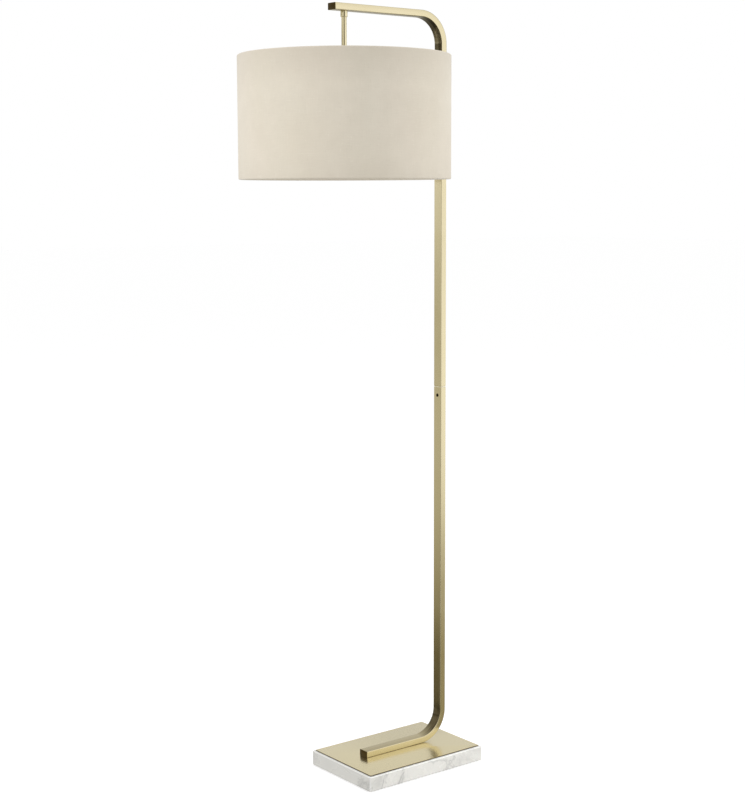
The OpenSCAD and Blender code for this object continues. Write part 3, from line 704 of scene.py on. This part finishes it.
def lathe(name, profile, material, body, slot, stands_for, segments, closed=True):
    """Turns a profile of (radius, height) points about the rod's axis. A closed profile makes a
    ring, and an open one is capped at both ends."""
    verts = []
    for r, z in profile:
        for j in range(segments):
            a = 2 * math.pi * j / segments
            verts.append((LAMP.x + r * math.cos(a), r * math.sin(a), z))
    faces = ring_faces(len(profile), segments, close_last=closed)
    if not closed:
        faces.append(tuple(reversed(range(segments))))
        faces.append(tuple(range(len(verts) - segments, len(verts))))
    piece = make_piece(name, verts, faces, material, body, slot, stands_for)
    bm = bmesh.new()
    bm.from_mesh(piece.data)
    bmesh.ops.remove_doubles(bm, verts=bm.verts, dist=1e-6)
    bmesh.ops.recalc_face_normals(bm, faces=bm.faces)
    bm.to_mesh(piece.data)
    bm.free()
    finish_mesh(piece.data)
    return piece


def ease(points, r):
    """Rounds every corner of a closed outline by up to r."""
    out = []
    count = len(points)
    for i, here in enumerate(points):
        before = Vector(points[i - 1])
        after = Vector(points[(i + 1) % count])
        p = Vector(here)
        a, b = before - p, after - p
        k = min(r, a.length / 2.2, b.length / 2.2)
        start, stop = p + a.normalized() * k, p + b.normalized() * k
        for j in range(EASE_STEPS + 1):
            t = j / EASE_STEPS
            out.append(tuple((1 - t) ** 2 * start + 2 * t * (1 - t) * p + t * t * stop))
    return out


def tube_profile(inner_r, outer_r, low_z, high_z, ease_r):
    """The profile of a straight round tube with eased edges."""
    return ease([(inner_r, low_z), (outer_r, low_z), (outer_r, high_z), (inner_r, high_z)], ease_r)


def make_rod():
    """The hollow drop rod, and the collar round its upper end."""
    bore_r = 0.0038
    gap = 0.00005
    low, high = ROD
    rod_r = (high.x - low.x) / 2
    lathe("drop_rod_tube", tube_profile(bore_r, rod_r, low.z, high.z, EDGE_EASE),
          "rod_brass", "stand", "antique_brass", ["drop_rod"], 64)
    low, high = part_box("rod_coupler")
    collar_r = (high.x - low.x) / 2
    lathe("rod_coupler_collar", tube_profile(rod_r + gap, collar_r, low.z, high.z, 0.0006),
          "rod_brass", "stand", "antique_brass", ["rod_coupler"], 64)


def dome(top_r, low_r, top_z, drop):
    """A quarter of an ellipse from (top_r, top_z) out and down to (low_r, top_z - drop)."""
    angles = [math.radians(9 * i) for i in range(11)]
    return [(top_r + (low_r - top_r) * math.sin(a), top_z - drop * (1 - math.cos(a))) for a in angles]


def make_holder_cap():
    """The lampholder's domed cap with its neck, in moulded black."""
    low, high = HOLDER_CAP
    r = (high.x - low.x) / 2
    bore, neck, wall = 0.00505, 0.0075, 0.0018
    neck_z = high.z - 0.010
    corner = 0.0008
    foot = 0.0004
    profile = [(bore, high.z), (neck - corner, high.z), (neck, high.z - corner)]
    profile += dome(neck, r, neck_z, 0.013)
    profile += [(r, low.z + foot), (r - foot, low.z), (r - wall, low.z)]
    profile += reversed(dome(bore + 0.001, r - wall, neck_z - wall, 0.0112))
    profile += [(bore, neck_z - wall)]
    lathe("holder_cap_shell", profile, "black_plastic", "stand", "black_plastic", ["holder_cap"], 96)


def make_holder_skirt():
    """The lampholder's half-threaded skirt with its flange, in moulded black."""
    low, high = HOLDER_SKIRT
    flange_r = (high.x - low.x) / 2
    skirt_r, bore_r, mouth_r = 0.019, 0.0173, 0.016
    flange_z = high.z - 0.003
    lip_z = low.z + 0.002
    corner = 0.0006
    foot = 0.0004
    pitch, crest, threads, steps = 0.003, 0.0005, 8, 8
    profile = [(bore_r, high.z), (flange_r - corner, high.z), (flange_r, high.z - corner),
               (flange_r, flange_z + corner), (flange_r - corner, flange_z), (skirt_r + foot, flange_z),
               (skirt_r, flange_z - foot)]
    for i in range(threads * steps):
        height = crest * (0.5 - 0.5 * math.cos(2 * math.pi * i / steps))
        profile.append((skirt_r + height, flange_z - 0.002 - pitch * i / steps))
    profile += [(skirt_r, low.z + 0.0010), (skirt_r - 0.0003, low.z + 0.0003), (skirt_r - 0.001, low.z),
                (mouth_r, low.z), (mouth_r, lip_z), (bore_r, lip_z)]
    lathe("holder_skirt_shell", profile, "black_plastic", "stand", "black_plastic", ["holder_skirt"], 128)


# The least radius of a turned point, which keeps the axis free of faces without area.
AXIS_R = 0.00005


def make_globe():
    """The bulb's opal globe, a shell that is open at its neck."""
    r = (GLOBE[1].x - GLOBE[0].x) / 2
    centre_z = GLOBE[0].z + r
    rim_angle = math.degrees(math.asin((GLOBE[1].z - centre_z) / r))
    wall = 0.0012
    outside = arc(0, centre_z, r, rim_angle, -90, 48)
    inside = arc(0, centre_z, r - wall, -90, rim_angle, 48)
    outside[-1] = (AXIS_R, outside[-1][1])
    inside[0] = (AXIS_R, inside[0][1])
    lathe("bulb_globe_shell", outside + inside, "opal_diffuser", "bulb", "opal_diffuser",
          ["bulb_globe"], 128)


def make_bulb_body():
    """The bulb's plastic body, which flares from the cap to the globe."""
    bottom_r = (BULB_BODY[1].x - BULB_BODY[0].x) / 2
    top_r = 0.0138
    wall = 0.0015
    height = BULB_BODY[1].z - BULB_BODY[0].z
    steps = 24
    flare = []
    for i in range(steps + 1):
        t = i / steps
        flare.append((top_r + (bottom_r - top_r) * t * t * (1.6 - 0.6 * t), BULB_BODY[1].z - height * t))
    inner = [(x - wall, z) for x, z in reversed(flare)]
    lathe("bulb_body_shell", flare + inner, "bulb_plastic", "bulb", "bulb_plastic", ["bulb_body"], 128)


def make_bulb_contact():
    """The blunt brass contact at the bulb's foot."""
    low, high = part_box("bulb_contact")
    rim_r = (high.x - low.x) / 2
    tip_r = 0.0004
    profile = [(rim_r, low.z), (rim_r - 0.0001, low.z + 0.0004), (rim_r - 0.0003, low.z + 0.0008),
               (rim_r - 0.0007, low.z + 0.0010), (tip_r, high.z)]
    lathe("bulb_contact_tip", profile, "contact_brass", "bulb", "contact_brass", ["bulb_contact"], 64,
          closed=False)


# ---------------------------------------------------------------- shade

# The drum: its radius, the cloth's thickness, how far the cloth is kept inside its CAD solid, the
# depth of its outer wall, how far down the rims are wavy, and the steps round it.
SHADE_R = 0.201
CLOTH_T = 0.0010
INSET = 0.0002
WALL_DEPTH = 0.0022
RIM_WAVE_H = 0.02
AROUND = 360

# The hems: the radius of the rolled edge, how far they turn in, and their height inside.
ROLL_R = 0.0024
HEM_IN = 0.0068
HEM_H = 0.008

# The arms of the wire frame, in degrees, and half the width of the notch for each in the hem.
FRAME_ARMS = (60, 180, 300)
NOTCH_HALF = 0.0030

# The lap of the cloth's seam: its place and the half width of each of its edges in degrees, its
# width, and how far it stands out.
SEAM_ANGLE = 52.0
SEAM_EDGE = 0.08
SEAM_W = 0.012
SEAM_STEP = 0.00030
SEAM_HALF = math.degrees(SEAM_W / 2 / SHADE_R)


def shade_angles():
    """Even steps round the drum, with closer ones at both edges of the lap."""
    angles = {round(360.0 * i / AROUND, 4) for i in range(AROUND)}
    for side in (-1, 1):
        for step in (-1.5, -0.5, 0.5, 1.5):
            angles.add(round(SEAM_ANGLE + side * SEAM_HALF + step * SEAM_EDGE, 4))
    return sorted(angles)


def seam_lift(angle):
    """1 on the lap, 0 off it, and between them on its edges."""
    away = abs(angle - SEAM_ANGLE)
    return max(0.0, min(1.0, (SEAM_HALF + SEAM_EDGE - away) / (2 * SEAM_EDGE)))


def rim_wave(angle, phase):
    """A hand-made rim is true to about a tenth of a millimetre."""
    a = math.radians(angle)
    return 0.00006 * math.sin(3 * a + phase) + 0.00004 * math.sin(7 * a + 2.1 * phase)


def cloth_profile():
    """(radius, height) round the cloth's section: wall, rolled hems and the folds inside."""
    z0, z1 = SHADE[0].z, SHADE[1].z
    r = SHADE_R - INSET
    hem_r = SHADE_R - HEM_IN
    rows = 16
    profile = arc(r - ROLL_R, z0 + ROLL_R, ROLL_R, -90, 0, 6)
    profile += [(r, z0 + ROLL_R + (z1 - z0 - 2 * ROLL_R) * i / rows) for i in range(1, rows)]
    profile += arc(r - ROLL_R, z1 - ROLL_R, ROLL_R, 0, 90, 6)
    profile += arc(hem_r + ROLL_R, z1 - ROLL_R, ROLL_R, 90, 180, 6)
    profile += [(hem_r, z1 - HEM_H), (hem_r + CLOTH_T, z1 - HEM_H)]
    small = ROLL_R - CLOTH_T
    profile += arc(hem_r + ROLL_R, z1 - ROLL_R, small, 180, 90, 5)
    profile += arc(r - ROLL_R, z1 - ROLL_R, small, 90, 0, 5)
    profile += arc(r - ROLL_R, z0 + ROLL_R, small, 0, -90, 5)
    profile += arc(hem_r + ROLL_R, z0 + ROLL_R, small, 270, 180, 5)
    profile += [(hem_r + CLOTH_T, z0 + HEM_H), (hem_r, z0 + HEM_H)]
    profile += arc(hem_r + ROLL_R, z0 + ROLL_R, ROLL_R, 180, 270, 6)
    return profile


def face_in_notch(face, verts):
    """True where an arm of the wire frame passes through the upper hem's inner fold."""
    beyond = SHADE_R - HEM_IN + CLOTH_T + 0.0002
    low_z = SHADE[1].z - HEM_H - 0.001
    high_z = SHADE[1].z - ROLL_R + 0.0004
    for angle in FRAME_ARMS:
        a = math.radians(angle)
        inside = True
        for i in face:
            x, y, z = verts[i]
            x -= LAMP.x
            along = x * math.cos(a) + y * math.sin(a)
            across = -x * math.sin(a) + y * math.cos(a)
            inside &= abs(across) < NOTCH_HALF and 0 < along < beyond and low_z < z < high_z
        if inside:
            return True
    return False


def cloth_points(profile, angles):
    """The cloth's points, their UV in metres, round the drum and along the profile, and the
    profile's length."""
    z0, z1 = SHADE[0].z, SHADE[1].z
    verts = []
    coords = []
    along = 0.0
    before = profile[0]
    for r, z in profile:
        along += math.dist(before, (r, z))
        before = (r, z)
        lap = SEAM_STEP if r > SHADE_R - WALL_DEPTH else 0.0
        near_rim = max(0.0, 1 - min(z - z0, z1 - z) / RIM_WAVE_H)
        phase = 1.0 if z > (z0 + z1) / 2 else 4.0
        for angle in angles:
            a = math.radians(angle)
            rr = r + lap * seam_lift(angle) - INSET + rim_wave(angle, phase) * near_rim
            verts.append((LAMP.x + rr * math.cos(a), rr * math.sin(a), z))
            coords.append((SHADE_R * a, along))
    return verts, coords, along


def map_cloth(mesh, coords, around, girth, height):
    """Writes the UV. Faces that close the drum or the profile end a whole turn on, at girth or at
    height, and not back at 0."""
    uv = mesh.uv_layers.new(name="weave")
    for poly in mesh.polygons:
        points = [mesh.loops[i].vertex_index for i in poly.loop_indices]
        columns = [point % around for point in points]
        rows = [point // around for point in points]
        closes_drum = max(columns) - min(columns) > 1
        closes_profile = max(rows) - min(rows) > 1
        for i, point, column, row in zip(poly.loop_indices, points, columns, rows):
            u, v = coords[point]
            u += girth if closes_drum and column == 0 else 0.0
            v = height if closes_profile and row == 0 else v
            uv.data[i].uv = (u, v)


def make_shade():
    """The linen drum: a sheet lapped at the back and rolled over both wire rings."""
    profile = cloth_profile()
    angles = shade_angles()
    verts, coords, along = cloth_points(profile, angles)
    faces = ring_faces(len(profile), len(angles), close_last=True)
    faces = [face for face in faces if not face_in_notch(face, verts)]
    piece = make_piece("shade_cloth", verts, faces, "linen", "shade", "linen", ["shade_fabric"])
    girth = 2 * math.pi * SHADE_R
    map_cloth(piece.data, coords, len(angles), girth, along + CLOTH_T)


def make_lining():
    """The stiff white sheet behind the cloth."""
    low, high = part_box("shade_liner")
    gap = 0.0005
    thick = 0.0009
    r = SHADE_R - CLOTH_T - gap
    lathe("shade_lining_sheet", tube_profile(r - thick, r, low.z, high.z, 0.0002),
          "lining", "shade", "shade_lining", ["shade_liner"], 360)


# ---------------------------------------------------------------- pieces that stay as CAD

CAD_MATERIALS = {
    "marble": ["marble_slab"],
    "steel": ["base_screws", "base_washers", "nut_bar", "clamp_screws", "arm_washer"],
    "white_nylon": ["terminal_block"],
    "contact_brass": ["terminal_screws", "arm_nipple", "arm_nut", "screw_shell", "centre_contact",
                      "contact_screws"],
    "soft_black": ["cord_clamp", "cable_outlet"],
    "satin_brass": ["pole_connector"],
    "black_steel": ["pole_screw"],
    "lead_sheath": ["inner_lead"],
    "porcelain": ["holder_core"],
    "white_wire": ["shade_top_ring", "shade_bottom_ring", "shade_spider"],
    "black_plastic": ["shade_ring"],
    "nickel": ["bulb_cap"],
    "black_glass": ["bulb_insulator"],
    "led_board": ["led_board"],
}


def dress_cad():
    """The materials of the CAD nodes that no piece stands for."""
    for material, nodes in CAD_MATERIALS.items():
        for node in nodes:
            dress(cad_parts[node], material)


# ---------------------------------------------------------------- studio

# Directions from the lamp to the studio's sides and to the gap in front.
TO_RIGHT = (0.61, -0.79, 0.0)
TO_LEFT = (-0.61, 0.79, 0.0)
TO_GAP = (-0.401, -0.914, 0.05)


def make_floor():
    """A wide pale floor just under the felt; it is clear from below, so that views from there
    see the lamp."""
    reach, z = 30.0, -0.0003
    corners = [(-reach, -reach, z), (reach, -reach, z), (reach, reach, z), (-reach, reach, z)]
    mesh = bpy.data.meshes.new("floor")
    mesh.from_pydata(corners, [], [(0, 1, 2, 3)])
    floor = bpy.data.objects.new("floor", mesh)
    bpy.context.scene.collection.objects.link(floor)
    material = bpy.data.materials.new("studio_floor")
    material.use_nodes = True
    material.node_tree.nodes.remove(material.node_tree.nodes["Principled BSDF"])
    n = Nodes(material.node_tree)
    white = n.node("ShaderNodeBsdfDiffuse", {"Color": (0.7, 0.7, 0.7)})
    glow = n.node("ShaderNodeEmission", {"Strength": 0.45})
    both = n.node("ShaderNodeAddShader", {0: white.outputs[0], 1: glow.outputs[0]})
    below = n.node("ShaderNodeNewGeometry").outputs["Backfacing"]
    clear = n.node("ShaderNodeBsdfTransparent")
    pick = n.node("ShaderNodeMixShader", {0: below, 1: both.outputs[0], 2: clear.outputs[0]})
    n.feed(n.tree.nodes["Material Output"].inputs["Surface"], pick.outputs[0])
    mesh.materials.append(material)
    floor.visible_glossy = False
    floor.visible_diffuse = False


def by_elevation(n, sine, *levels):
    """A ramp of grey levels at elevations in degrees; the ramp runs over (sine + 1) / 2."""
    where = n.maths("MULTIPLY_ADD", sine, 0.5)
    where.node.inputs[2].default_value = 0.5
    stops = [((math.sin(math.radians(angle)) + 1) / 2, (level,) * 3) for angle, level in levels]
    return n.ramp(where, *stops)


def studio(n):
    """Brightness and tint of the studio in each direction, as the polished metal sees it: large
    soft windows on the right and behind, a lower one on the left, and a narrow gap in front. The
    sides turn warmer where they are darker."""
    where = n.node("ShaderNodeTexCoord").outputs["Generated"]
    sine = n.node("ShaderNodeSeparateXYZ", {"Vector": where}).outputs["Z"]
    right = by_elevation(n, sine, (-90, 0.30), (-18, 0.33), (-16, 0.27), (-14.6, 0.32), (-12.9, 0.55),
                         (-11.3, 0.98), (-9.5, 1.14), (-5, 1.12), (-2, 0.98), (0, 1.10), (7, 1.08),
                         (14, 0.92), (20, 0.96), (90, 0.8))
    left = by_elevation(n, sine, (-90, 0.50), (-40, 0.40), (-25, 0.12), (-18, 0.10), (-16.3, 0.15),
                        (-15.2, 0.25), (-13.4, 0.43), (-11.3, 0.56), (-6.5, 0.61), (-4.5, 0.47),
                        (-2, 0.60), (0, 1.0), (2.2, 0.85), (3.8, 0.08), (6.0, 0.08), (9, 0.8),
                        (25, 0.9), (90, 0.8))
    behind = by_elevation(n, sine, (-90, 0.14), (-40, 0.16), (-20, 0.25), (-8, 0.45), (3, 0.75),
                          (12, 0.70), (18, 0.74), (90, 0.7))
    to_right = n.span(n.dot(where, TO_RIGHT), 0.2, 0.7)
    to_left = n.span(n.dot(where, TO_LEFT), 0.86, 0.95)
    level = n.mix(to_left, n.mix(to_right, behind, right), left)
    level = n.mix(n.span(n.dot(where, TO_GAP), 0.93, 0.97), level, (0.10, 0.10, 0.10))
    warm = n.ramp(level, (0.0, (1.0, 0.82, 0.42)), (0.25, (1.0, 0.87, 0.50)), (0.45, (1.0, 0.95, 0.77)),
                  (0.7, (1.0, 0.98, 0.91)), (1.0, (1.0, 1.0, 1.03)))
    tint = n.mix(n.maths("MAXIMUM", to_left, to_right), (1.0, 0.98, 0.92), warm)
    return level, tint


def make_world():
    """White to the camera, an even soft light for matt surfaces, and a studio for reflections."""
    world = bpy.data.worlds.new("studio")
    bpy.context.scene.world = world
    world.use_nodes = True
    world.node_tree.nodes.clear()
    n = Nodes(world.node_tree)
    level, tint = studio(n)
    mirrored = n.node("ShaderNodeBackground", {"Color": tint, "Strength": level})
    even = n.node("ShaderNodeBackground", {"Color": (1.0, 1.0, 1.0), "Strength": 0.78})
    white = n.node("ShaderNodeBackground", {"Color": (1.0, 1.0, 1.0), "Strength": 1.0})
    path = n.node("ShaderNodeLightPath").outputs
    inner = n.node("ShaderNodeMixShader", {
        0: path["Is Glossy Ray"], 1: even.outputs[0], 2: mirrored.outputs[0],
    })
    outer = n.node("ShaderNodeMixShader", {
        0: path["Is Camera Ray"], 1: inner.outputs[0], 2: white.outputs[0],
    })
    out = n.node("ShaderNodeOutputWorld")
    n.feed(out.inputs["Surface"], outer.outputs[0])


def make_softbox(name, place, aim, size, power, spread=180):
    """A rectangular area light that the metal doesn't mirror; spread is in degrees."""
    data = bpy.data.lights.new(name, "AREA")
    data.shape = "RECTANGLE"
    data.size, data.size_y = size
    data.energy = power
    data.spread = math.radians(spread)
    light = bpy.data.objects.new(name, data)
    light.location = place
    light.rotation_euler = (Vector(aim) - Vector(place)).to_track_quat("-Z", "Y").to_euler()
    light.visible_glossy = False
    bpy.context.scene.collection.objects.link(light)


def make_lights():
    """Soft light from both sides and above, and a little more on the base's front."""
    shade = (LAMP.x, 0.0, 1.06)
    make_softbox("left_softbox", (-3.0, 1.0, 1.6), shade, (1.4, 2.2), 25)
    make_softbox("right_softbox", (2.8, -1.5, 1.6), shade, (1.4, 2.2), 30)
    make_softbox("top_softbox", (-0.2, -0.4, 4.2), (0.0, 0.0, 0.5), (2.5, 2.5), 20)
    make_softbox("base_softbox", (1.8, -2.1, 0.5), (0.08, -0.1, 0.0), (0.8, 0.8), 1.7, 40)


# ---------------------------------------------------------------- build

make_base()
make_poles()
make_end_caps()
make_rod()
make_holder_cap()
make_holder_skirt()
make_globe()
make_bulb_body()
make_bulb_contact()
make_shade()
make_lining()
dress_cad()
make_floor()
make_world()
make_lights()

bpy.context.scene.view_settings.view_transform = "Standard"
bpy.context.scene.view_settings.look = "None"
